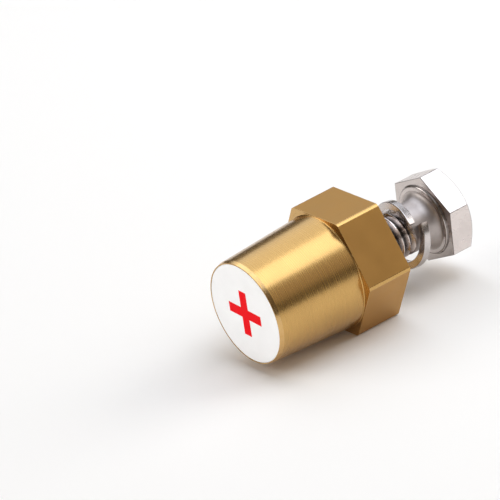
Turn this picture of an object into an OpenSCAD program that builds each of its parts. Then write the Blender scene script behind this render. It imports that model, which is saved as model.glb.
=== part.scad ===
// Battery terminal post adapter, positive: a tapered brass post turned from
// hexagon bar, with a bolt and a split spring washer in its threaded end.
// The part lies on one flat of its hexagon. Millimetres. The origin is the
// centre of the seat face, +X runs along the axis towards the bolt head and
// +Z is up. Each piece is drawn standing, with its axis on Z and the tip of
// the post on top, and laid down at the end.

/* [Hexagon base] */
// Hexagon width across flats
hex_af = 20; // [20:0.1:27]
// Length of the hexagon along the axis
hex_len = 8.4; // [5:0.1:14]
// Radius of the drawn bar's rounded corners
hex_corner_r = 0.7; // [0.2:0.1:2]
// Edge break turned on the corners of the seat end and of the shoulder
hex_edge_break = 0.1; // [0.05:0.05:0.8]

/* [Tapered post] */
// Diameter of the post at its foot
post_base_d = 19.5; // [15:0.1:19.5]
// Length of the post from the shoulder to its end face
post_len = 16.4; // [14:0.1:24]
// Length over which the post loses one millimetre of diameter for each millimetre
post_taper = 9; // [7:0.5:20]
// Radius of the fillet at the foot of the post
post_foot_r = 0.2; // [0.1:0.05:0.8]
// Length of the lead-in at the tip of the post
tip_lead_len = 0.7; // [0.3:0.1:2]
// How far the lead-in goes in from the taper
tip_lead_in = 0.2; // [0.1:0.05:0.6]

/* [Polarity disc] */
// Width of the brass rim left around the disc
tip_land = 0.15; // [0.05:0.05:1]
// Thickness of the disc, flush with the rim
disc_t = 0.6; // [0.4:0.1:1.2]
// Gap between the disc and the wall of its recess
disc_fit = 0.03; // [0.02:0.01:0.1]
// Edge break around the face of the disc
disc_edge = 0.08; // [0.04:0.02:0.2]

/* [Bolt] */
// Thread diameter of the bolt
bolt_d = 8; // [6:1:9]
// Thread pitch
thread_pitch = 1.25; // [1:0.25:1.5]
// Length of the bolt under its bearing face
bolt_len = 20; // [16:1:25]
// Chamfer at the end of the bolt
bolt_tip_chamfer = 0.9; // [0.4:0.1:1.5]
// Length along the axis of the flare under the head
bolt_flare_len = 2; // [0.2:0.1:2.4]
// Width of the flare under the head
bolt_flare_w = 1.2; // [0.2:0.1:1.6]
// Head width across flats
head_af = 13.7; // [13.5:0.1:17]
// Height of the hexagon of the head
head_h = 4.5; // [3.5:0.1:6.5]
// Angle of the chamfer on the head's end
head_chamfer_angle = 30; // [15:1:45]
// Width of the chamfer at the middle of each flat
head_chamfer = 0.35; // [0.1:0.05:0.8]
// Diameter of the raised bearing face under the head
face_d = 12; // [11:0.1:13]
// Height of the raised bearing face
face_h = 0.4; // [0.2:0.1:0.8]
// Distance from the seat to the underside of the head's hexagon, part unscrewed
head_gap = 12.4; // [9:0.1:16]
// Angle at which the head stands, from a corner on top
head_angle = -7; // [-30:0.1:30]

/* [Threaded hole] */
// Radial clearance between the bolt and the wall of the hole
thread_clearance = 0.05; // [0.02:0.01:0.1]
// Turns that the bolt can still go in
run_in_turns = 4.25; // [0:0.25:6]
// Depth left under the end of the bolt when it is all the way in
hole_spare = 0.8; // [0.3:0.1:3]
// Width of the countersink at the mouth
mouth_chamfer = 0.4; // [0.2:0.1:1]
// Full angle of the drill point
drill_angle = 118; // [90:1:140]

/* [Spring washer] */
// How much wider the washer's hole is than the bolt
washer_slack = 1.1; // [0.6:0.1:2]
// Width of the washer's section
washer_w = 1.3; // [0.8:0.1:2.2]
// Thickness of the washer's section
washer_t = 1.3; // [0.8:0.1:2]
// How far one end of the coil stands off from the other
washer_rise = 2.2; // [0.5:0.1:3]
// Angle of the slit between the two ends
washer_slit = 4; // [2:1:20]
// Angle at which the slit stands, from the top
washer_slit_angle = -55; // [-180:1:180]
// Edge break along the section
washer_edge = 0.15; // [0.05:0.05:0.35]
// Distance from the bearing face to the middle of the washer
washer_to_face = 4.7; // [3.5:0.1:6]
// Angle by which the hanging washer leans, its lower side towards the post
washer_lean = 7.5; // [0:0.5:9]
// Gap between the bolt and the washer that hangs on it
washer_hang_gap = 0.05; // [0.03:0.01:0.2]

/* [Hidden] */
$fn = 128;
// Sides of a hexagon, and the ratio of its corner circle to its flats
HEX_SIDES = 6;
CORNER_RATIO = 1 / cos(180 / HEX_SIDES);
// How far a cut reaches past the face that it opens
CUT_OVER = 1;
// Steps in a small fillet, and in the coil of the washer
FILLET_STEPS = 8;
COIL_STEPS = 96;

// Brass post, heights counted from the seat
overall_len = hex_len + post_len;
corner_centre_r = (hex_af / 2 - hex_corner_r) * CORNER_RATIO;
rim_r = corner_centre_r + hex_corner_r;
taper_angle = atan(1 / (2 * post_taper));
tip_edge_r = post_r(post_len - tip_lead_len);
tip_face_r = tip_edge_r - tip_lead_in;
recess_r = tip_face_r - tip_land;

// Bolt, heights counted from the seat: the head lies below, the end above
bolt_r = bolt_d / 2;
head_corner_r = head_af / 2 * CORNER_RATIO;
head_top_r = head_af / 2 - head_chamfer;
bearing_z = face_h - head_gap;
bolt_end_z = bearing_z + bolt_len;

// Threaded hole
hole_r = bolt_r + thread_clearance;
hole_depth = bolt_end_z + run_in_turns * thread_pitch + hole_spare;
drill_point = hole_r / tan(drill_angle / 2);

// Spring washer, drawn about its own middle, then leaned, dropped and moved along the bolt
washer_in_r = (bolt_d + washer_slack) / 2;
washer_out_r = washer_in_r + washer_w;
washer_z = bearing_z + washer_to_face;
washer_drop = min([for (p = coil_points()) if (over_bolt(p)) room_over_bolt(p)]);

// Radius of the tapered post at a height above the shoulder
function post_r(height) = post_base_d / 2 - height / (2 * post_taper);

// Points of an oval arc from one angle to another, and of a round one
function oval_arc(centre, half_sizes, from, to) = [
    for (i = [0 : FILLET_STEPS])
        let (angle = from + (to - from) * i / FILLET_STEPS)
        centre + [half_sizes[0] * cos(angle), half_sizes[1] * sin(angle)]
];
function arc(centre, radius, from, to) = oval_arc(centre, [radius, radius], from, to);

// Lays a standing piece down: its top points to -X and its +X side comes up
module laid_down() {
    rotate([0, -90, 0]) children();
}

// Drawn hexagon bar with rounded corners and a flat on its +X side
module drawn_bar(length) {
    half_turn = 180 / HEX_SIDES;
    linear_extrude(height = length) polygon([
        for (angle = [half_turn : 2 * half_turn : 360])
            each arc(
                corner_centre_r * [cos(angle), sin(angle)],
                hex_corner_r,
                angle - half_turn,
                angle + half_turn
            )
    ]);
}

// Outline that the lathe leaves on the bar: broken corners, shoulder, fillet, taper and tip
module turned_outline() {
    foot_z = hex_len + post_foot_r;
    foot_touch = post_r(post_foot_r * (1 - sin(taper_angle)));
    foot_centre = [foot_touch + post_foot_r * cos(taper_angle), foot_z];
    polygon(concat(
        [
            [0, 0],
            [rim_r - hex_edge_break, 0],
            [rim_r + CUT_OVER, hex_edge_break + CUT_OVER],
            [rim_r + CUT_OVER, hex_len - hex_edge_break - CUT_OVER],
            [rim_r - hex_edge_break, hex_len]
        ],
        arc(foot_centre, post_foot_r, 270, 180 + taper_angle),
        [
            [tip_edge_r, overall_len - tip_lead_len],
            [tip_face_r, overall_len],
            [0, overall_len]
        ]
    ));
}

// Threaded hole with its countersunk mouth and drill point
module hole_outline() {
    polygon([
        [0, -CUT_OVER],
        [hole_r + mouth_chamfer + CUT_OVER, -CUT_OVER],
        [hole_r, mouth_chamfer],
        [hole_r, hole_depth],
        [0, hole_depth + drill_point]
    ]);
}

// Bearing face, flare, shank and end chamfer of the bolt, from inside its head
module bolt_outline() {
    flare_centre = [bolt_r + bolt_flare_w, bearing_z + bolt_flare_len];
    face_edge = face_h / 2;
    polygon(concat(
        [
            [0, bearing_z - face_h - head_h / 2],
            [face_d / 2, bearing_z - face_h - head_h / 2],
            [face_d / 2, bearing_z - face_edge],
            [face_d / 2 - face_edge, bearing_z]
        ],
        oval_arc(flare_centre, [bolt_flare_w, bolt_flare_len], 270, 180),
        [
            [bolt_r, bolt_end_z - bolt_tip_chamfer],
            [bolt_r - bolt_tip_chamfer, bolt_end_z],
            [0, bolt_end_z]
        ]
    ));
}

// Turned end of the bolt head: a cone that cuts the six corners back
module head_outline() {
    reach = head_corner_r + CUT_OVER - head_top_r;
    polygon([
        [0, -head_h],
        [head_top_r, -head_h],
        [head_top_r + reach, reach * tan(head_chamfer_angle) - head_h],
        [head_top_r + reach, 0],
        [0, 0]
    ]);
}

// Section of the washer as radius and height about its middle, with its four edges broken
function washer_section() =
    let (half = washer_t / 2)
    [
        [washer_in_r + washer_edge, -half],
        [washer_out_r - washer_edge, -half],
        [washer_out_r, washer_edge - half],
        [washer_out_r, half - washer_edge],
        [washer_out_r - washer_edge, half],
        [washer_in_r + washer_edge, half],
        [washer_in_r, half - washer_edge],
        [washer_in_r, washer_edge - half]
    ];

// Left-hand coil of one turn: the section goes round from one side of the slit
// to the other and sinks by the rise, and the whole coil leans
function coil_points() = [
    for (i = [0 : COIL_STEPS], p = washer_section())
        let (share = i / COIL_STEPS)
        let (angle = washer_slit_angle + washer_slit / 2 + (360 - washer_slit) * share)
        let (height = p[1] + washer_rise * (1 / 2 - share))
        leaned(p[0] * cos(angle), p[0] * sin(angle), height)
];

// A point of the coil, turned about the level line through the washer's middle
function leaned(up, side, height) = [
    up * cos(washer_lean) + height * sin(washer_lean),
    side,
    height * cos(washer_lean) - up * sin(washer_lean)
];

// Whether a point of the coil is above the bolt, and how far it can drop until it meets it
function over_bolt(p) = p[0] > 0 && abs(p[1]) < bolt_r + washer_hang_gap;
function room_over_bolt(p) = p[0] - sqrt(pow(bolt_r + washer_hang_gap, 2) - pow(p[1], 2));

// Walls between neighbouring sections of the coil, and a cap on each end
module coil() {
    sides = len(washer_section());
    walls = [
        for (i = [0 : COIL_STEPS - 1], k = [0 : sides - 1])
            let (next = (k + 1) % sides)
            [i * sides + k, (i + 1) * sides + k, (i + 1) * sides + next, i * sides + next]
    ];
    start_cap = [for (k = [0 : sides - 1]) k];
    end_cap = [for (k = [sides - 1 : -1 : 0]) COIL_STEPS * sides + k];
    polyhedron(coil_points(), concat(walls, [start_cap, end_cap]), convexity = 4);
}

// Tapered post and hexagon in one piece, turned from bar and drilled from the seat
module brass_post() {
    color("darkgoldenrod") laid_down() difference() {
        intersection() {
            drawn_bar(overall_len);
            rotate_extrude() turned_outline();
        }
        rotate_extrude() hole_outline();
        translate([0, 0, overall_len - disc_t])
            cylinder(r = recess_r, h = disc_t + CUT_OVER);
    }
}

// White disc that fills the recess in the end face
module polarity_disc() {
    disc_r = recess_r - disc_fit;
    color("white") laid_down() translate([0, 0, overall_len - disc_t])
        rotate_extrude() polygon([
            [0, 0],
            [disc_r, 0],
            [disc_r, disc_t - disc_edge],
            [disc_r - disc_edge, disc_t],
            [0, disc_t]
        ]);
}

// Hexagon bolt, screwed part of the way into the post
module hex_bolt() {
    color("lightgray") laid_down() union() {
        translate([0, 0, -head_gap]) intersection() {
            rotate(head_angle) translate([0, 0, -head_h])
                cylinder(r = head_corner_r, h = head_h, $fn = HEX_SIDES);
            rotate_extrude() head_outline();
        }
        rotate_extrude() bolt_outline();
    }
}

// Split spring washer that hangs on the bolt by its own weight
module spring_washer() {
    color("silver") laid_down() translate([-washer_drop, 0, washer_z]) coil();
}

brass_post();
polarity_disc();
hex_bolt();
spring_washer();
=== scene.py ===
"""Looks of the positive battery post adapter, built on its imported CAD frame.

The file is laid out as a Blender add-on and run as a script. Each piece has an
operator, and so has the stage. Sizes are in the frame's own metres: +X runs along
the axis from the seat towards the bolt head, +Z is up, and the origin is the centre
of the seat face.
"""

import math

import bpy
from bpy.props import FloatProperty, FloatVectorProperty, IntProperty, PointerProperty
from bpy.types import Operator, Panel, PropertyGroup
from mathutils import Matrix, Vector


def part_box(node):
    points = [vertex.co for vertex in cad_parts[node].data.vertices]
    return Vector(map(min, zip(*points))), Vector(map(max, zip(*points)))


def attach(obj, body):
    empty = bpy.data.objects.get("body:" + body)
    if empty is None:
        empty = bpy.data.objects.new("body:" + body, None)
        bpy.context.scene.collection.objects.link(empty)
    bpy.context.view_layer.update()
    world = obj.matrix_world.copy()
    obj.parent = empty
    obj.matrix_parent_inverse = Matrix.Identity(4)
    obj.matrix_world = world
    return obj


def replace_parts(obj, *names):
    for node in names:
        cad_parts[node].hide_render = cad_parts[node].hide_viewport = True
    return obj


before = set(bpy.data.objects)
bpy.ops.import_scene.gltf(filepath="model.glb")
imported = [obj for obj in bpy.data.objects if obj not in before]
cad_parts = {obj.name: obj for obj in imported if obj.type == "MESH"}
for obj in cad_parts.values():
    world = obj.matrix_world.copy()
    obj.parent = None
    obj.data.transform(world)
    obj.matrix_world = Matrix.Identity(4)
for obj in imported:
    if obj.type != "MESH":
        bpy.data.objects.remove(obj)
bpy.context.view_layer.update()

bl_info = {
    "name": "Battery post adapter",
    "version": (1, 0, 0),
    "blender": (4, 5, 0),
    "location": "View3D > Sidebar > Post adapter",
    "description": "Models a tapered brass battery post with its bolt and spring washer",
    "category": "Object",
}

MM = 0.001
# Points closer together than this are one point
WELD = 0.001 * MM

HEX_SIDES = 6
CORNER_RATIO = 1 / math.cos(math.pi / HEX_SIDES)
# How far a hexagon bar is turned past its corners
TURNED_OVER = 0.3 * MM
# Steps of a rounded hexagon corner, and its profile, which is flatter than a round one
CORNER_STEPS = 8
CORNER_PROFILE = 0.4
# A turned piece is spun in steps that put a line of points on each hexagon corner
TURN_STEPS = 144

# Depth of the thread and the flats at its crest and root, as shares of its pitch
DEPTH_SHARE = 0.6134
CREST_SHARE = 1 / 8
ROOT_SHARE = 1 / 4
# Steps in one turn of the thread
THREAD_STEPS = 72
# How far the thread's crest stays inside its nominal diameter
CREST_GAP = 0.02 * MM
# How far the bolt's core lies under the thread's root, so that the two bodies cross
CORE_SINK = 0.05 * MM
# How far the thread runs on into the bare neck
THREAD_OVERRUN = 0.3 * MM

# Edges that turn by more than this angle are bevelled and get the edge finish, which carries painted
# light
EDGE_FINISH_ANGLE = math.radians(25)
# Faces that meet at less than this angle are shaded as one smooth surface
SMOOTH_ANGLE = math.radians(12)
# Faces that meet at less than this angle are one flat face
LEVEL_ANGLE = math.radians(0.5)
# Material places on a piece with several finishes; place 0 is its turned finish
FLAT, EDGE, NECK, THREAD = range(1, 5)

# Tints of the lamps
COOL = (0.92, 1, 1.12)
WARM = (1, 0.86, 0.75)
# Width of the camera's sensor in millimetres
SENSOR_WIDTH = 36

POST_LOW, POST_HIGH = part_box("brass_post")
DISC_LOW, DISC_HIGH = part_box("polarity_disc")
BOLT_LOW, BOLT_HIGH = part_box("hex_bolt")
WASHER_LOW, WASHER_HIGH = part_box("spring_washer")


# Settings


def length(name, description, default):
    """A size in metres that the panel shows as a length."""
    return FloatProperty(
        name=name, description=description, default=default, unit="LENGTH", precision=5
    )


def angle(name, description, degrees):
    """An angle that the panel shows in degrees."""
    return FloatProperty(
        name=name, description=description, default=math.radians(degrees), subtype="ANGLE"
    )


def colour(name, description, default):
    """A linear colour."""
    return FloatVectorProperty(
        name=name, description=description, default=default, subtype="COLOR", min=0, max=1
    )


class PostSettings(PropertyGroup):
    """Sizes and colours of the brass post."""

    hexagon_length: length("Hexagon length", "Length of the hexagon along the axis", 8.4 * MM)
    corner_round: length("Corner round", "Radius of the hexagon's corners", 0.7 * MM)
    foot_diameter: length("Foot diameter", "Diameter of the post at its foot", 19.5 * MM)
    taper: FloatProperty(
        name="Taper", description="Length over which the post loses one unit of diameter", default=9
    )
    foot_fillet: length("Foot fillet", "Radius of the fillet at the foot", 0.2 * MM)
    lead_length: length("Lead-in length", "Length of the lead-in at the tip", 0.7 * MM)
    lead_depth: length("Lead-in depth", "How far the lead-in goes in from the taper", 0.2 * MM)
    recess_gap: length("Recess gap", "Gap between the disc and its recess", 0.03 * MM)
    hole_diameter: length("Hole diameter", "Diameter of the threaded hole", 8.1 * MM)
    hole_depth: length("Hole depth", "Depth of the hole to its drill point", 14.1 * MM)
    mouth_chamfer: length("Mouth chamfer", "Countersink at the mouth of the hole", 0.4 * MM)
    drill_angle: angle("Drill angle", "Full angle of the drill point", 118)
    # The post's bevelled edges get paler brass, partly wear and partly painted highlight
    worn_edge: length("Worn edge", "Width of the rubbed edges", 0.04 * MM)
    brass: colour("Brass", "Colour of the clean brass", (0.61, 0.365, 0.115))
    # The flats' brass is darker than the clean brass: painted shade
    dull_brass: colour("Dull brass", "Colour of the handled brass", (0.5, 0.275, 0.082))


class SignSettings(PropertyGroup):
    """Sizes and colours of the end disc and its plus sign."""

    sunk: length("Sunk", "Depth of the disc's face under the brass rim", 0.04 * MM)
    disc_edge: length("Disc edge", "Rounding of the disc's edge", 0.08 * MM)
    arm_length: length("Arm length", "Length of the sign from end to end", 8 * MM)
    arm_width: length("Arm width", "Width of the sign's arms", 1.75 * MM)
    paint: length("Paint", "Thickness of the printed sign", 0.025 * MM)
    turn: angle("Turn", "Turn of the sign on the disc", 4)
    white: colour("White", "Colour of the disc", (0.92, 0.92, 0.92))
    red: colour("Red", "Colour of the sign", (0.86, 0.006, 0.012))


class BoltSettings(PropertyGroup):
    """Sizes and colours of the hexagon bolt."""

    thread_diameter: length("Thread diameter", "Diameter over the thread", 8 * MM)
    pitch: length("Pitch", "Distance from one thread to the next", 1.25 * MM)
    bare_neck: length("Bare neck", "Length under the head without thread", 4.7 * MM)
    flare_length: length("Flare length", "Length of the flare under the head", 2 * MM)
    flare_width: length("Flare width", "Width of the flare under the head", 1.2 * MM)
    head_width: length("Head width", "Width of the head across its flats", 13.7 * MM)
    head_height: length("Head height", "Height of the head's hexagon", 4.5 * MM)
    head_chamfer: length("Head chamfer", "Chamfer at the middle of each flat", 0.35 * MM)
    chamfer_angle: angle("Chamfer angle", "Angle of the chamfer on the head", 30)
    face_diameter: length("Bearing face", "Diameter of the bearing face", 12 * MM)
    face_height: length("Bearing height", "Height of the bearing face", 0.4 * MM)
    head_turn: angle("Head turn", "Angle of a corner of the head from the top", -7)
    tip_chamfer: length("Tip chamfer", "Chamfer at the end of the bolt", 0.9 * MM)
    # The bolt's bevelled edges get darker steel as painted shade
    worn_edge: length("Worn edge", "Width of the rubbed edges", 0.08 * MM)
    steel: colour("Steel", "Colour of the stainless steel", (0.71, 0.64, 0.61))


class WasherSettings(PropertyGroup):
    """Sizes and colours of the spring washer."""

    hole_diameter: length("Hole diameter", "Diameter of the washer's hole", 9.1 * MM)
    section: length("Section", "Width and thickness of the coil's section", 1.3 * MM)
    section_edge: length("Section edge", "Rounding along the section", 0.15 * MM)
    rise: length("Rise", "How far one end stands off from the other", 2.2 * MM)
    slit: angle("Slit", "Angle between the two ends", 4)
    slit_turn: angle("Slit turn", "Angle of the slit from the top", -55)
    lean: angle("Lean", "Lean of the hanging washer towards the post", 7.5)
    coil_steps: IntProperty(name="Coil steps", description="Steps round the coil", default=120)
    steel: colour("Steel", "Colour of the spring steel", (0.65, 0.605, 0.59))


class StageSettings(PropertyGroup):
    """Camera, floor and room of the studio."""

    aim: FloatVectorProperty(
        name="Aim",
        description="Point that the camera looks at",
        default=(-14.24 * MM, 11.186 * MM, 3.354 * MM),
        subtype="TRANSLATION",
    )
    distance: length("Distance", "Distance of the camera from its aim", 798.43 * MM)
    azimuth: angle("Azimuth", "Camera's angle round the part, from -Y towards +X", -32.94)
    elevation: angle("Elevation", "Camera's angle above the floor", 26.13)
    roll: angle("Roll", "Turn of the camera about its view", -11.55)
    lens: FloatProperty(name="Lens", description="Focal length", default=360, unit="CAMERA")
    floor_size: length("Floor size", "Width of the floor", 12)
    floor: colour("Floor", "Colour of the floor", (0.96, 0.935, 0.895))
    room_low: colour("Room below", "Colour of the room at floor level", (0.09, 0.075, 0.06))
    room_high: colour("Room above", "Colour of the room overhead", (0.2, 0.175, 0.15))


def disc_face(settings):
    """Place of the disc's outer face along the axis."""
    return DISC_LOW.x + settings.sunk


def thread_root(settings):
    """Radius at the root of the thread."""
    return settings.thread_diameter / 2 - DEPTH_SHARE * settings.pitch


def bearing_place(settings):
    """Place of the bolt's bearing face along the axis."""
    return BOLT_HIGH.x - settings.head_height - settings.face_height


def neck_place(settings):
    """Place along the axis where the bolt's bare neck starts."""
    return bearing_place(settings) - settings.bare_neck


# Modelling by hand, one step at a time


def select_only(piece):
    """Leaves edit mode and makes one piece the only selected one."""
    if bpy.context.mode != "OBJECT":
        bpy.ops.object.mode_set(mode="OBJECT")
    bpy.ops.object.select_all(action="DESELECT")
    if piece:
        piece.select_set(True)
        bpy.context.view_layer.objects.active = piece


def edit_all(piece):
    """Opens a piece for editing with all of it selected."""
    select_only(piece)
    bpy.ops.object.mode_set(mode="EDIT")
    bpy.ops.mesh.select_mode(type="VERT")
    bpy.ops.mesh.select_all(action="SELECT")


def edit_edges(piece, wanted):
    """Opens a piece for editing with the edges selected whose two ends pass a test."""
    edit_all(piece)
    bpy.ops.mesh.select_mode(type="EDGE")
    bpy.ops.mesh.select_all(action="DESELECT")
    bpy.ops.object.mode_set(mode="OBJECT")
    places = [vertex.co for vertex in piece.data.vertices]
    for edge in piece.data.edges:
        edge.select = wanted(*(places[index] for index in edge.vertices))
    bpy.ops.object.mode_set(mode="EDIT")


def settle(piece):
    """Moves a piece's place and turn into its mesh."""
    select_only(piece)
    bpy.ops.object.transform_apply(location=True, rotation=True, scale=True)


def start_plane(name, size, place, rotation=(0, 0, 0)):
    """Adds a plane with its place in its mesh, as the start of a piece."""
    select_only(None)
    bpy.ops.mesh.primitive_plane_add(size=size, location=place, rotation=rotation)
    piece = bpy.context.object
    piece.name = name
    piece.data.name = name
    settle(piece)
    return piece


def draw_outline(name, outline):
    """Draws edges through points given as (along the axis, out from it)."""
    along, out = outline[0]
    piece = start_plane(name, MM, (along, 0, out))
    edit_all(piece)
    bpy.ops.mesh.merge(type="CENTER")
    for here, there in zip(outline, outline[1:]):
        step = (there[0] - here[0], 0, there[1] - here[1])
        bpy.ops.mesh.extrude_vertices_move(TRANSFORM_OT_translate={"value": step})
    return piece


def fillet(centre, along, out, start, end, steps=10):
    """Points of an oval arc with half sizes along the axis and out from it."""
    turns = [start + (end - start) * step / steps for step in range(steps + 1)]
    return [
        (centre[0] + along * math.cos(turn), centre[1] + out * math.sin(turn)) for turn in turns
    ]


def weld(piece):
    """Joins points in one place and turns all faces outwards."""
    edit_all(piece)
    bpy.ops.mesh.remove_doubles(threshold=WELD)
    bpy.ops.mesh.normals_make_consistent(inside=False)
    bpy.ops.object.mode_set(mode="OBJECT")


def turn_on_lathe(name, outline, seam=0):
    """Spins an outline that starts and ends on the axis into a closed body.

    A line of points lies at the angle of the seam from the top, and at each step from it.
    """
    piece = draw_outline(name, outline)
    bpy.ops.mesh.select_all(action="SELECT")
    bpy.ops.mesh.spin(steps=TURN_STEPS, angle=math.tau, center=(0, 0, 0), axis=(1, 0, 0))
    weld(piece)
    piece.rotation_euler.x = -seam
    settle(piece)
    return piece


def cut_off(piece, place, outward):
    """Cuts away what lies beyond a plane and closes the cut."""
    edit_all(piece)
    bpy.ops.mesh.bisect(
        plane_co=place, plane_no=outward, use_fill=True, clear_outer=True, threshold=WELD
    )


def mill_flats(piece, half_width, first_angle):
    """Cuts six flats, the first at an angle from the top."""
    for side in range(HEX_SIDES):
        around = first_angle + math.tau * side / HEX_SIDES
        outward = Vector((0, math.sin(around), math.cos(around)))
        cut_off(piece, outward * half_width, outward)
    edit_all(piece)
    bpy.ops.mesh.dissolve_limited(angle_limit=LEVEL_ANGLE)
    weld(piece)


def round_corners(piece, half_width, radius):
    """Rounds the six long corners between the flats, flatter in their middle."""

    def on_corner(first, last):
        far_out = first.yz.length > half_width * CORNER_RATIO - WELD
        return far_out and (last - first).yz.length < WELD

    edit_edges(piece, on_corner)
    bpy.ops.mesh.bevel(
        offset=radius * math.tan(math.pi / HEX_SIDES),
        segments=CORNER_STEPS,
        profile=CORNER_PROFILE,
        affect="EDGES",
        clamp_overlap=False,
    )
    weld(piece)


def give_flats(piece, half_width):
    """Gives the milled flats their own finish."""
    for face in piece.data.polygons:
        level = abs(face.normal.x) < math.sin(LEVEL_ANGLE)
        if level and abs(face.center.dot(face.normal) - half_width) < WELD:
            face.material_index = FLAT


def rub_edges(piece, width):
    """Bevels the sharp edges and gives them the edge finish: paler brass on the post, partly wear and
    partly painted highlight, and darker steel on the bolt, painted shade.
    """
    edit_all(piece)
    bpy.ops.mesh.select_mode(type="EDGE")
    bpy.ops.mesh.select_all(action="DESELECT")
    bpy.ops.mesh.edges_select_sharp(sharpness=EDGE_FINISH_ANGLE)
    bpy.ops.mesh.bevel(
        offset=width, segments=2, affect="EDGES", clamp_overlap=False, material=EDGE
    )
    weld(piece)


def apply_modifier(piece, kind, **settings):
    """Adds a modifier with its settings and applies it."""
    select_only(piece)
    bpy.ops.object.modifier_add(type=kind)
    modifier = piece.modifiers[-1]
    for name, value in settings.items():
        setattr(modifier, name, value)
    bpy.ops.object.modifier_apply(modifier=modifier.name)


def coil(piece, turn, advance, steps, **settings):
    """Sweeps an outline round the axis while it advances along it."""
    apply_modifier(
        piece,
        "SCREW",
        axis="X",
        angle=turn,
        screw_offset=advance,
        steps=steps,
        render_steps=steps,
        **settings,
    )


def mesh_box(piece):
    """Lowest and highest corner of a piece's mesh."""
    places = [vertex.co for vertex in piece.data.vertices]
    return [
        Vector([pick(place[axis] for place in places) for axis in range(3)]) for pick in (min, max)
    ]


def finish_mesh(piece):
    """Checks that a piece is closed, then shades it smooth between its edges."""
    edit_all(piece)
    bpy.ops.mesh.select_all(action="DESELECT")
    bpy.ops.mesh.select_non_manifold(extend=False)
    bpy.ops.object.mode_set(mode="OBJECT")
    gaps = [vertex.co[:] for vertex in piece.data.vertices if vertex.select]
    if gaps:
        raise RuntimeError(f"{piece.name} isn't closed at {gaps}")
    select_only(piece)
    bpy.ops.object.shade_smooth_by_angle(angle=SMOOTH_ANGLE, keep_sharp_edges=False)
    apply_modifier(piece, "WEIGHTED_NORMAL", keep_sharp=True)


# Masks that the finishes share


def set_inputs(node, values):
    """Sets plain values on a node's inputs; underscores stand for spaces."""
    for name, value in values.items():
        node.inputs[name.replace("_", " ")].default_value = value


def add_node(tree, kind, **values):
    """Adds a node with plain values on its inputs."""
    node = tree.nodes.new(kind)
    set_inputs(node, values)
    return node


def math_node(tree, operation, first, second):
    """Adds a Math node; each operand is a socket or a number."""
    node = tree.nodes.new("ShaderNodeMath")
    node.operation = operation
    for socket, operand in zip(node.inputs, (first, second)):
        if isinstance(operand, (int, float)):
            socket.default_value = operand
        else:
            tree.links.new(operand, socket)
    return node.outputs["Value"]


def split_axes(tree, vector):
    """Splits a vector socket into its X, Y and Z."""
    split = tree.nodes.new("ShaderNodeSeparateXYZ")
    tree.links.new(vector, split.inputs["Vector"])
    return [split.outputs[axis] for axis in "XYZ"]


def axis_place(tree, position):
    """Splits a position into its place along the axis and its distance from it."""
    along, across, upward = split_axes(tree, position)
    squares = [math_node(tree, "MULTIPLY", value, value) for value in (across, upward)]
    return along, math_node(tree, "SQRT", math_node(tree, "ADD", *squares), 0)


def mask_group(name, mask, *values):
    """Makes a shader node group that gives a mask from a position and named values.

    It comes with its input and output nodes, for the caller to join.
    """
    group = bpy.data.node_groups.new(name, "ShaderNodeTree")
    group.interface.new_socket("Position", in_out="INPUT", socket_type="NodeSocketVector")
    for value in values:
        group.interface.new_socket(value, in_out="INPUT", socket_type="NodeSocketFloat")
    group.interface.new_socket(mask, in_out="OUTPUT", socket_type="NodeSocketFloat")
    return group, group.nodes.new("NodeGroupInput"), group.nodes.new("NodeGroupOutput")


def turning_lines():
    """Group: fine rings that a lathe tool leaves round the axis and on end faces."""
    group, given, made = mask_group("turning_lines", "Lines", "Spacing")
    along, out = axis_place(group, given.outputs["Position"])
    tool_path = math_node(group, "ADD", along, out)
    ring = math_node(group, "DIVIDE", tool_path, given.outputs["Spacing"])
    noise = add_node(group, "ShaderNodeTexNoise", Scale=1, Detail=2, Roughness=0.7)
    noise.noise_dimensions = "1D"
    group.links.new(ring, noise.inputs["W"])
    group.links.new(noise.outputs["Fac"], made.inputs["Lines"])
    return group


def drawing_lines():
    """Group: fine lines along the axis, as on bar that was pulled through a die."""
    group, given, made = mask_group("drawing_lines", "Lines", "Spacing", "Stretch")
    along, across, upward = split_axes(group, given.outputs["Position"])
    stretched = math_node(group, "DIVIDE", along, given.outputs["Stretch"])
    joined = group.nodes.new("ShaderNodeCombineXYZ")
    for axis, value in zip("XYZ", (stretched, across, upward)):
        line = math_node(group, "DIVIDE", value, given.outputs["Spacing"])
        group.links.new(line, joined.inputs[axis])
    noise = add_node(group, "ShaderNodeTexNoise", Scale=1, Detail=2)
    group.links.new(joined.outputs["Vector"], noise.inputs["Vector"])
    group.links.new(noise.outputs["Fac"], made.inputs["Lines"])
    return group


def handling_marks():
    """Group: soft patches where a surface was handled."""
    group, given, made = mask_group("handling_marks", "Marks", "Size")
    noise = add_node(group, "ShaderNodeTexNoise", Detail=4, Roughness=0.6)
    scale = math_node(group, "DIVIDE", 1, given.outputs["Size"])
    group.links.new(given.outputs["Position"], noise.inputs["Vector"])
    group.links.new(scale, noise.inputs["Scale"])
    spread = add_node(group, "ShaderNodeMapRange", From_Min=0.35, From_Max=0.65)
    group.links.new(noise.outputs["Fac"], spread.inputs["Value"])
    group.links.new(spread.outputs["Result"], made.inputs["Marks"])
    return group


def thread_height():
    """Group: 0 at the root of a thread, rising to 1 at its crest."""
    group, given, made = mask_group("thread_height", "Height", "Root", "Crest")
    out = axis_place(group, given.outputs["Position"])[1]
    spread = group.nodes.new("ShaderNodeMapRange")
    group.links.new(out, spread.inputs["Value"])
    group.links.new(given.outputs["Root"], spread.inputs["From Min"])
    group.links.new(given.outputs["Crest"], spread.inputs["From Max"])
    group.links.new(spread.outputs["Result"], made.inputs["Height"])
    return group


# Finishes


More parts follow.
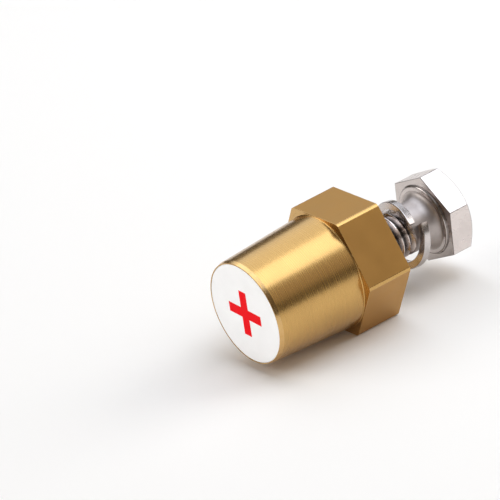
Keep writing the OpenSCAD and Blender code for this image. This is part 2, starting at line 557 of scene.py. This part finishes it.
class Finish:
    """A material in the making: its shader, and the part's own coordinates."""

    def __init__(self, name, **values):
        self.material = bpy.data.materials.new(name)
        self.material.use_nodes = True
        self.tree = self.material.node_tree
        self.shader = self.tree.nodes["Principled BSDF"]
        self.position = self.tree.nodes.new("ShaderNodeTexCoord").outputs["Object"]
        set_inputs(self.shader, values)

    def mask(self, make, **values):
        """Places a shared mask group, which is made on first use, and gives its mask."""
        node = self.tree.nodes.new("ShaderNodeGroup")
        node.node_tree = bpy.data.node_groups.get(make.__name__) or make()
        self.tree.links.new(self.position, node.inputs["Position"])
        set_inputs(node, values)
        return node.outputs[0]

    def both(self, first, second):
        """Average of two masks."""
        return math_node(
            self.tree, "MULTIPLY", math_node(self.tree, "ADD", first, second), 0.5
        )

    def colour(self, mask, low, high):
        """Mixes the base colour from low to high by a mask."""
        mix = self.tree.nodes.new("ShaderNodeMix")
        mix.data_type = "RGBA"
        self.tree.links.new(mask, mix.inputs["Factor"])
        ends = [socket for socket in mix.inputs if socket.type == "RGBA"]
        for socket, end in zip(ends, (low, high)):
            socket.default_value = (*end, 1)
        result = next(socket for socket in mix.outputs if socket.type == "RGBA")
        self.tree.links.new(result, self.shader.inputs["Base Color"])

    def roughness(self, mask, low, high):
        """Spreads the roughness from low to high by a mask."""
        spread = add_node(self.tree, "ShaderNodeMapRange", To_Min=low, To_Max=high)
        self.tree.links.new(mask, spread.inputs["Value"])
        self.tree.links.new(spread.outputs["Result"], self.shader.inputs["Roughness"])

    def bump(self, mask, depth, strength):
        """Raises the surface by a mask."""
        bump = add_node(self.tree, "ShaderNodeBump", Strength=strength, Distance=depth)
        self.tree.links.new(mask, bump.inputs["Height"])
        self.tree.links.new(bump.outputs["Normal"], self.shader.inputs["Normal"])


def shade(tint, factor):
    """A colour made darker or lighter by a factor."""
    return tuple(factor * channel for channel in tint)


def paler(tint, amount):
    """A colour with an amount of white added."""
    return tuple(channel + amount for channel in tint)


def turned_brass(settings):
    """Lacquered satin brass with fine rings from the lathe."""
    brass = settings.brass
    finish = Finish("turned_brass", Metallic=1, Coat_Weight=0.4, Coat_Roughness=0.2)
    lines = finish.mask(turning_lines, Spacing=0.25 * MM)
    marks = finish.mask(handling_marks, Size=4 * MM)
    finish.colour(finish.both(lines, marks), shade(brass, 0.9), brass)
    finish.roughness(lines, low=0.22, high=0.31)
    finish.bump(lines, depth=0.0025 * MM, strength=0.5)
    return finish.material


def drawn_brass(settings):
    """Darker brass of the bar's own flats, as painted shade, with lines along the axis."""
    brass = settings.dull_brass
    finish = Finish("drawn_brass", Metallic=1)
    lines = finish.mask(drawing_lines, Spacing=0.16 * MM, Stretch=14)
    marks = finish.mask(handling_marks, Size=3 * MM)
    finish.colour(marks, shade(brass, 0.95), brass)
    finish.roughness(finish.both(lines, marks), low=0.36, high=0.48)
    finish.bump(lines, depth=0.005 * MM, strength=0.5)
    return finish.material


def rubbed_and_highlight_brass(settings):
    """Paler brass of the rubbed edges and the lead-in: partly wear, partly a painted highlight."""
    brass = settings.brass
    finish = Finish("rubbed_and_highlight_brass", Metallic=1)
    marks = finish.mask(handling_marks, Size=0.8 * MM)
    # Painted highlight: white added to the brass of the edges and the lead-in
    finish.colour(marks, paler(brass, 0.04), paler(brass, 0.09))
    finish.roughness(marks, low=0.18, high=0.28)
    return finish.material


def turned_steel(settings):
    """Turned stainless steel of the bearing face and the ends, darkened as painted shade."""
    steel = settings.steel
    finish = Finish("turned_steel", Metallic=1)
    lines = finish.mask(turning_lines, Spacing=0.1 * MM)
    marks = finish.mask(handling_marks, Size=2 * MM)
    # Painted shade: the turned steel is darker than the pressed flats
    finish.colour(finish.both(lines, marks), shade(steel, 0.72), shade(steel, 0.86))
    finish.roughness(lines, low=0.14, high=0.24)
    finish.bump(lines, depth=0.002 * MM, strength=0.4)
    return finish.material


def pressed_steel(settings):
    """Smooth stainless steel of the head's pressed flats."""
    steel = settings.steel
    finish = Finish("pressed_steel", Metallic=1)
    lines = finish.mask(drawing_lines, Spacing=0.2 * MM, Stretch=8)
    marks = finish.mask(handling_marks, Size=2.5 * MM)
    finish.colour(marks, steel, shade(steel, 1.1))
    finish.roughness(finish.both(lines, marks), low=0.2, high=0.34)
    finish.bump(lines, depth=0.003 * MM, strength=0.3)
    return finish.material


def painted_shade_edge_steel(settings):
    """Darker steel along the edges of the head: painted shade."""
    steel = settings.steel
    finish = Finish("painted_shade_edge_steel", Metallic=1)
    marks = finish.mask(handling_marks, Size=0.8 * MM)
    # Painted shade: the head's edges are 0.3 to 0.45 of the steel's colour
    finish.colour(marks, shade(steel, 0.3), shade(steel, 0.45))
    finish.roughness(marks, low=0.25, high=0.35)
    return finish.material


def satin_steel(settings):
    """Satin steel of the bare neck, its colour darkened as painted shade."""
    steel = settings.steel
    finish = Finish("satin_steel", Metallic=1)
    lines = finish.mask(turning_lines, Spacing=0.1 * MM)
    marks = finish.mask(handling_marks, Size=2 * MM)
    # Painted shade: the neck's steel is 0.66 to 0.78 of the steel's colour
    finish.colour(marks, shade(steel, 0.66), shade(steel, 0.78))
    finish.roughness(finish.both(lines, marks), low=0.42, high=0.52)
    finish.bump(lines, depth=0.002 * MM, strength=0.4)
    return finish.material


def rolled_steel(settings):
    """Bright steel of the thread, darkened towards its root as painted shade."""
    steel = settings.steel
    crest_r = settings.thread_diameter / 2
    finish = Finish("rolled_steel", Metallic=1)
    height = finish.mask(thread_height, Root=thread_root(settings), Crest=crest_r)
    marks = finish.mask(handling_marks, Size=0.8 * MM)
    # Painted shade: dark at the thread's root, bright at its crest
    finish.colour(height, shade(steel, 0.15), shade(steel, 1.05))
    finish.roughness(marks, low=0.16, high=0.28)
    return finish.material


def spring_steel(settings):
    """Bright rolled steel of the washer."""
    steel = settings.steel
    finish = Finish("spring_steel", Metallic=1)
    lines = finish.mask(turning_lines, Spacing=0.15 * MM)
    marks = finish.mask(handling_marks, Size=1.5 * MM)
    finish.colour(marks, shade(steel, 0.85), steel)
    finish.roughness(finish.both(lines, marks), low=0.18, high=0.28)
    finish.bump(lines, depth=0.001 * MM, strength=0.4)
    return finish.material


def white_plastic(settings):
    """Smooth white plastic with a faint moulded grain."""
    white = settings.white
    finish = Finish("white_plastic")
    grain = finish.mask(handling_marks, Size=0.4 * MM)
    marks = finish.mask(handling_marks, Size=3 * MM)
    finish.colour(marks, shade(white, 0.97), white)
    finish.roughness(finish.both(grain, marks), low=0.4, high=0.52)
    finish.bump(grain, depth=0.002 * MM, strength=0.3)
    return finish.material


def sign_paint(settings):
    """Red printing ink, a little uneven."""
    red = settings.red
    finish = Finish("sign_paint", Specular_IOR_Level=0.03)
    grain = finish.mask(handling_marks, Size=0.3 * MM)
    finish.colour(grain, shade(red, 0.93), red)
    finish.roughness(grain, low=0.4, high=0.55)
    finish.bump(grain, depth=0.002 * MM, strength=0.3)
    return finish.material


def give_finishes(piece, *materials):
    """Puts the materials into a piece's slots, in order."""
    for material in materials:
        piece.data.materials.append(material)


# Pieces


def post_outline(settings):
    """Outline of the turned post and its hole, from the drill point to the recess floor."""
    hole_r = settings.hole_diameter / 2
    # The bar is turned past its corners, so that the flats meet in clean edges
    rim_r = POST_HIGH.z * CORNER_RATIO + TURNED_OVER
    tip = POST_LOW.x
    shoulder = -settings.hexagon_length
    foot_r = settings.foot_diameter / 2
    slope = 1 / (2 * settings.taper)
    fillet_r = settings.foot_fillet
    tip_edge_r = foot_r - (shoulder - tip - settings.lead_length) * slope
    recess_r = DISC_HIGH.y + settings.recess_gap
    foot_centre = (shoulder - fillet_r, foot_r - fillet_r * slope + fillet_r)
    return [
        (-settings.hole_depth - hole_r / math.tan(settings.drill_angle / 2), 0),
        (-settings.hole_depth, hole_r),
        (-settings.mouth_chamfer, hole_r),
        (0, hole_r + settings.mouth_chamfer),
        (0, rim_r),
        (shoulder, rim_r),
        *fillet(foot_centre, fillet_r, fillet_r, 0, -math.pi / 2 + math.atan(slope)),
        (tip + settings.lead_length, tip_edge_r),
        (tip, tip_edge_r - settings.lead_depth),
        (tip, recess_r),
        (DISC_HIGH.x, recess_r),
        (DISC_HIGH.x, 0),
    ]


def polish_lead(piece, settings):
    """Gives the lead-in at the tip the paler brass of the edge finish, a painted highlight."""
    lead_end = POST_LOW.x + settings.lead_length
    for face in piece.data.polygons:
        faces_out = face.normal.yz.dot(face.center.yz) > WELD
        if faces_out and face.center.x < lead_end:
            face.material_index = EDGE


class ADAPTER_OT_post(Operator):
    """Turns the tapered post from hexagon bar"""

    bl_idname = "adapter.post"
    bl_label = "Brass post"

    def execute(self, context):
        settings = context.scene.adapter_post
        half_width = POST_HIGH.z
        piece = turn_on_lathe("turned_post", post_outline(settings))
        give_finishes(
            piece, turned_brass(settings), drawn_brass(settings), rubbed_and_highlight_brass(settings)
        )
        mill_flats(piece, half_width, 0)
        round_corners(piece, half_width, settings.corner_round)
        give_flats(piece, half_width)
        polish_lead(piece, settings)
        rub_edges(piece, settings.worn_edge)
        finish_mesh(piece)
        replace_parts(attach(piece, "post"), "brass_post")
        return {"FINISHED"}


class ADAPTER_OT_disc(Operator):
    """Turns the white disc that fills the end of the post"""

    bl_idname = "adapter.disc"
    bl_label = "End disc"

    def execute(self, context):
        settings = context.scene.adapter_sign
        face = disc_face(settings)
        radius = DISC_HIGH.y
        edge = settings.disc_edge
        piece = turn_on_lathe(
            "end_disc",
            [
                (DISC_HIGH.x, 0),
                (DISC_HIGH.x, radius),
                *fillet((face + edge, radius - edge), edge, edge, math.pi / 2, math.pi),
                (face, 0),
            ],
        )
        give_finishes(piece, white_plastic(settings))
        finish_mesh(piece)
        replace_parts(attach(piece, "post"), "polarity_disc")
        return {"FINISHED"}


def extend_arm(piece, outward, half, reach):
    """Pulls one side of the sign's middle square out into an arm."""

    def on_side(first, last):
        aside = (first + last) / 2 - outward * half
        return aside.yz.length < WELD

    edit_edges(piece, on_side)
    bpy.ops.mesh.extrude_region_move(TRANSFORM_OT_translate={"value": outward * reach})


class ADAPTER_OT_sign(Operator):
    """Prints the red plus sign on the disc"""

    bl_idname = "adapter.sign"
    bl_label = "Plus sign"

    def execute(self, context):
        settings = context.scene.adapter_sign
        width = settings.arm_width
        reach = (settings.arm_length - width) / 2
        middle = (disc_face(settings), 0, 0)
        piece = start_plane("plus_sign", width, middle, (0, -math.pi / 2, 0))
        for outward in ((0, 1, 0), (0, -1, 0), (0, 0, 1), (0, 0, -1)):
            extend_arm(piece, Vector(outward), width / 2, reach)
        edit_all(piece)
        bpy.ops.mesh.extrude_region_move(
            TRANSFORM_OT_translate={"value": (-settings.paint, 0, 0)}
        )
        piece.rotation_euler.x = settings.turn
        settle(piece)
        weld(piece)
        give_finishes(piece, sign_paint(settings))
        finish_mesh(piece)
        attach(piece, "post")
        return {"FINISHED"}


def bolt_outline(settings):
    """Outline of the bolt without its thread, from its tip to the end of its head."""
    neck_r = settings.thread_diameter / 2
    core_r = thread_root(settings) - CORE_SINK
    neck_start = neck_place(settings)
    runout = neck_r - thread_root(settings)
    bearing = bearing_place(settings)
    flare_length, flare_width = settings.flare_length, settings.flare_width
    flare_centre = (bearing - flare_length, neck_r + flare_width)
    face_r = settings.face_diameter / 2
    face_edge = settings.face_height / 2
    head_end = BOLT_HIGH.x
    head_start = head_end - settings.head_height
    top_r = settings.head_width / 2 - settings.head_chamfer
    # The head is turned past its corners, so that the flats meet in clean edges
    over_r = settings.head_width / 2 * CORNER_RATIO + TURNED_OVER
    fall = (over_r - top_r) * math.tan(settings.chamfer_angle)
    return [
        (BOLT_LOW.x, 0),
        (BOLT_LOW.x, core_r - settings.tip_chamfer / 2),
        (BOLT_LOW.x + settings.tip_chamfer / 2, core_r),
        (neck_start - runout, core_r),
        (neck_start, neck_r),
        *fillet(flare_centre, flare_length, flare_width, -math.pi / 2, 0),
        (bearing, face_r - face_edge),
        (bearing + face_edge, face_r),
        (head_start, face_r),
        (head_start, over_r),
        (head_end - fall, over_r),
        (head_end, top_r),
        (head_end, 0),
    ]


def thread_body(settings):
    """Rolls the thread as a closed body that is cut off square at both ends."""
    pitch = settings.pitch
    crest_r = settings.thread_diameter / 2 - CREST_GAP
    root_r = thread_root(settings)
    start = BOLT_LOW.x + settings.tip_chamfer / 2
    end = neck_place(settings) + THREAD_OVERRUN
    # One turn is rolled before the start and at least one after the end
    turns = math.ceil((end - start) / pitch) + 2
    first = start - pitch
    crest, root = CREST_SHARE * pitch, ROOT_SHARE * pitch
    flank = (pitch - crest - root) / 2
    piece = draw_outline(
        "thread",
        [
            (first, root_r),
            (first + root, root_r),
            (first + root + flank, crest_r),
            (first + root + flank + crest, crest_r),
            (first + pitch, root_r),
        ],
    )
    coil(
        piece,
        math.tau,
        pitch,
        THREAD_STEPS,
        iterations=turns,
        use_merge_vertices=True,
        merge_threshold=WELD,
    )
    weld(piece)
    cut_off(piece, (start, 0, 0), (-1, 0, 0))
    cut_off(piece, (end, 0, 0), (1, 0, 0))
    weld(piece)
    return piece


def give_shank(piece, settings):
    """Gives the thread and the bare neck under the head their own finishes."""
    neck_start = neck_place(settings)
    bearing = bearing_place(settings)
    for face in piece.data.polygons:
        if face.center.x < neck_start:
            face.material_index = THREAD
        elif face.center.x < bearing - WELD:
            face.material_index = NECK


class ADAPTER_OT_bolt(Operator):
    """Makes the hexagon bolt with its rolled thread"""

    bl_idname = "adapter.bolt"
    bl_label = "Hexagon bolt"

    def execute(self, context):
        settings = context.scene.adapter_bolt
        half_width = settings.head_width / 2
        piece = turn_on_lathe("threaded_bolt", bolt_outline(settings), settings.head_turn)
        give_finishes(
            piece,
            turned_steel(settings),
            pressed_steel(settings),
            painted_shade_edge_steel(settings),
            satin_steel(settings),
            rolled_steel(settings),
        )
        mill_flats(piece, half_width, settings.head_turn + math.pi / HEX_SIDES)
        give_flats(piece, half_width)
        rub_edges(piece, settings.worn_edge)
        thread = thread_body(settings)
        apply_modifier(piece, "BOOLEAN", object=thread, operation="UNION", solver="EXACT")
        bpy.data.objects.remove(thread)
        weld(piece)
        give_shank(piece, settings)
        finish_mesh(piece)
        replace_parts(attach(piece, "bolt"), "hex_bolt")
        return {"FINISHED"}


class ADAPTER_OT_washer(Operator):
    """Coils the split spring washer and hangs it on the bolt"""

    bl_idname = "adapter.washer"
    bl_label = "Spring washer"

    def execute(self, context):
        settings = context.scene.adapter_washer
        middle_r = (settings.hole_diameter + settings.section) / 2
        place = (settings.rise / 2, 0, middle_r)
        piece = start_plane("coiled_washer", settings.section, place, (math.pi / 2, 0, 0))
        edit_all(piece)
        bpy.ops.mesh.bevel(offset=settings.section_edge, segments=3, affect="VERTICES")
        bpy.ops.mesh.select_all(action="SELECT")
        bpy.ops.mesh.delete(type="ONLY_FACE")
        # The coil starts at the end next to the head and climbs towards the post
        piece.rotation_euler.x = settings.slit / 2 - settings.slit_turn
        settle(piece)
        coil(piece, math.tau - settings.slit, -settings.rise, settings.coil_steps)
        edit_all(piece)
        bpy.ops.mesh.fill_holes(sides=0)
        weld(piece)
        piece.rotation_euler.y = settings.lean
        settle(piece)
        low, high = mesh_box(piece)
        piece.location = (WASHER_LOW + WASHER_HIGH - low - high) / 2
        settle(piece)
        give_finishes(piece, spring_steel(settings))
        finish_mesh(piece)
        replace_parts(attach(piece, "washer"), "spring_washer")
        return {"FINISHED"}


# Stage


def add_lamp(name, size, place, level, tint=(1, 1, 1), aim=(0, 0, 0), mirrored=True):
    """Adds a soft rectangular lamp; a level of 1 is as bright as a lit white wall.

    A lamp that isn't mirrored lights matt surfaces and doesn't show in the metal.
    """
    select_only(None)
    direction = Vector(aim) - Vector(place)
    turned = direction.to_track_quat("-Z", "Y").to_euler()
    bpy.ops.object.light_add(type="AREA", location=place, rotation=turned)
    lamp = bpy.context.object
    lamp.name = name
    lamp.data.shape = "RECTANGLE"
    lamp.data.size, lamp.data.size_y = size
    lamp.data.energy = level * math.pi * size[0] * size[1]
    lamp.data.color = tint
    lamp.visible_camera = False
    lamp.visible_glossy = mirrored


def add_floor(settings):
    """Lays a pale floor under the part."""
    floor = start_plane("floor", settings.floor_size, (0, 0, POST_LOW.z))
    finish = Finish(
        "pale_floor", Base_Color=(*settings.floor, 1), Roughness=0.9, Specular_IOR_Level=0
    )
    give_finishes(floor, finish.material)


def add_room(settings):
    """Surrounds the stage with a dark room that is a little lighter overhead."""
    world = bpy.data.worlds.new("studio_room")
    world.use_nodes = True
    tree = world.node_tree
    direction = tree.nodes.new("ShaderNodeTexCoord").outputs["Generated"]
    upward = split_axes(tree, direction)[-1]
    ramp = tree.nodes.new("ShaderNodeValToRGB")
    ramp.color_ramp.elements[0].color = (*settings.room_low, 1)
    ramp.color_ramp.elements[-1].color = (*settings.room_high, 1)
    tree.links.new(upward, ramp.inputs["Fac"])
    tree.links.new(ramp.outputs["Color"], tree.nodes["Background"].inputs["Color"])
    bpy.context.scene.world = world


def add_camera(settings):
    """Sets a long lens at the photograph's viewing angle."""
    around, above = settings.azimuth, settings.elevation
    back = Vector(
        (
            math.sin(around) * math.cos(above),
            -math.cos(around) * math.cos(above),
            math.sin(above),
        )
    )
    level_view = (-back).to_track_quat("-Z", "Y").to_matrix()
    turned = level_view @ Matrix.Rotation(settings.roll, 3, "Z")
    select_only(None)
    bpy.ops.object.camera_add(
        location=Vector(settings.aim) + back * settings.distance,
        rotation=turned.to_euler(),
    )
    camera = bpy.context.object
    camera.name = "photo_camera"
    camera.data.sensor_width = SENSOR_WIDTH
    camera.data.lens = settings.lens
    bpy.context.scene.camera = camera


class ADAPTER_OT_stage(Operator):
    """Sets up the floor, the lamps, the room and the camera"""

    bl_idname = "adapter.stage"
    bl_label = "Stage"

    def execute(self, context):
        settings = context.scene.adapter_stage
        add_floor(settings)
        add_room(settings)
        add_lamp(
            "overhead_lamp", (0.54, 0.51), (0.22, -0.16, 0.6), level=2.3, tint=COOL, aim=(0.22, -0.16, 0)
        )
        add_lamp(
            "back_lamp", (0.75, 0.77), (0.32, 0.471, 0.628), level=1.1, tint=COOL, aim=(0.32, 0.016, 0)
        )
        add_lamp("rim_lamp", (0.22, 0.4), (0.06, 0.28, 0.52), level=0.9, tint=COOL)
        add_lamp("left_lamp", (0.5, 0.45), (-0.58, 0.47, 0.38), level=2.8)
        add_lamp("right_lamp", (0.5, 0.4), (0.62, -0.25, 0.36), level=1.9)
        add_lamp("front_panel", (0.75, 0.38), (0.36, -0.58, 0.42), level=0.3, tint=WARM)
        # Two fills that light the disc and the floor and don't show in the metal
        add_lamp("disc_fill", (0.6, 0.16), (-0.75, -0.1, 0.08), level=6.4, mirrored=False)
        add_lamp("floor_fill", (0.8, 0.6), (0.8, -0.25, 0.6), level=1.5, mirrored=False)
        add_camera(settings)
        context.scene.view_settings.view_transform = "Standard"
        return {"FINISHED"}


class ADAPTER_PT_panel(Panel):
    """Lists the pieces of the adapter and their settings"""

    bl_idname = "ADAPTER_PT_panel"
    bl_label = "Post adapter"
    bl_space_type = "VIEW_3D"
    bl_region_type = "UI"
    bl_category = "Post adapter"

    def draw(self, context):
        for operators, settings in PANEL_ROWS:
            box = self.layout.box()
            for operator in operators:
                box.operator(operator.bl_idname)
            group = getattr(context.scene, settings)
            for name in group.__annotations__:
                box.prop(group, name)


SETTINGS = {
    "adapter_post": PostSettings,
    "adapter_sign": SignSettings,
    "adapter_bolt": BoltSettings,
    "adapter_washer": WasherSettings,
    "adapter_stage": StageSettings,
}
PANEL_ROWS = (
    ((ADAPTER_OT_post,), "adapter_post"),
    ((ADAPTER_OT_disc, ADAPTER_OT_sign), "adapter_sign"),
    ((ADAPTER_OT_bolt,), "adapter_bolt"),
    ((ADAPTER_OT_washer,), "adapter_washer"),
    ((ADAPTER_OT_stage,), "adapter_stage"),
)
CLASSES = (
    *SETTINGS.values(),
    ADAPTER_OT_post,
    ADAPTER_OT_disc,
    ADAPTER_OT_sign,
    ADAPTER_OT_bolt,
    ADAPTER_OT_washer,
    ADAPTER_OT_stage,
    ADAPTER_PT_panel,
)


def register():
    """Registers the classes and hangs their settings on the scene."""
    for cls in CLASSES:
        bpy.utils.register_class(cls)
    for name, settings in SETTINGS.items():
        setattr(bpy.types.Scene, name, PointerProperty(type=settings))


def unregister():
    """Takes the settings off the scene and the classes out of Blender."""
    for name in SETTINGS:
        delattr(bpy.types.Scene, name)
    for cls in reversed(CLASSES):
        bpy.utils.unregister_class(cls)


def main():
    """Makes the pieces and the stage."""
    register()
    bpy.ops.adapter.post()
    bpy.ops.adapter.disc()
    bpy.ops.adapter.sign()
    bpy.ops.adapter.bolt()
    bpy.ops.adapter.washer()
    bpy.ops.adapter.stage()


if __name__ == "__main__":
    main()
